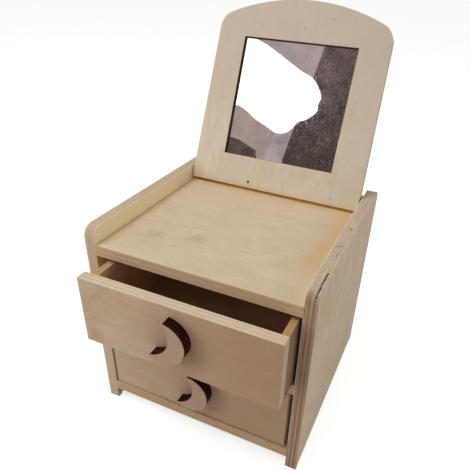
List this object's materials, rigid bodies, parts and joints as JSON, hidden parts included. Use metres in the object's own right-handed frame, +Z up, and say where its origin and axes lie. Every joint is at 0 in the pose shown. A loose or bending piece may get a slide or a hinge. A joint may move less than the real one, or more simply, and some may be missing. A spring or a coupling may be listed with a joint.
{
  "type": "vanity box",
  "caption": "Small plywood vanity box with drawers, crescent pulls, a railed top and a fold-down mirror in an arched frame.",
  "frame": {"origin": "on the surface the box stands on, midway between the side panels and at the middle, front to rear, of the space the open box takes up", "axes": "+Z up, +X to the right seen from the front, +Y from the drawer fronts to the back panel"},
  "size_m": [0.17, 0.2313, 0.2979],
  "materials": {
    "carcass_ply": "bare pale plywood, lightly sanded, with layered edges",
    "drawer_ply": "bare pale plywood, lightly sanded, with layered edges",
    "frame_ply": "bare pale plywood, cut edges of the opening scorched",
    "pull_ply": "bare pale plywood with scorched, near-black cut edges",
    "mirror": "silvered glass",
    "steel": "dull steel wire"
  },
  "bodies": {
    "cabinet": {"side_panel_left": "carcass_ply", "side_panel_right": "carcass_ply", "top_shelf": "carcass_ply", "middle_shelf": "carcass_ply", "bottom_panel": "carcass_ply", "back_panel": "carcass_ply"},
    "mirror": {"mirror_face_board": "frame_ply", "mirror_rear_board": "frame_ply", "mirror_glass": "mirror", "mirror_brads": "steel", "mirror_pin_left": "steel", "mirror_pin_right": "steel"},
    "upper_drawer": {"upper_drawer_front": "drawer_ply", "upper_drawer_side_left": "drawer_ply", "upper_drawer_side_right": "drawer_ply", "upper_drawer_back": "drawer_ply", "upper_drawer_bottom": "drawer_ply", "upper_drawer_pull": "pull_ply"},
    "lower_drawer": {"lower_drawer_front": "drawer_ply", "lower_drawer_side_left": "drawer_ply", "lower_drawer_side_right": "drawer_ply", "lower_drawer_back": "drawer_ply", "lower_drawer_bottom": "drawer_ply", "lower_drawer_pull": "pull_ply"}
  },
  "joints": [
    {"name": "upper_drawer_slide", "type": "slide", "parent": "cabinet", "child": "upper_drawer", "axis": [0, -1, 0], "range_m": [-0.0253, 0.0847]},
    {"name": "lower_drawer_slide", "type": "slide", "parent": "cabinet", "child": "lower_drawer", "axis": [0, -1, 0], "range_m": [0, 0.11]},
    {"name": "mirror_fold", "type": "hinge", "parent": "cabinet", "child": "mirror", "pos_m": [0, 0.05455, 0.15838], "axis": [1, 0, 0], "range_deg": [0, 112.5]}
  ]
}
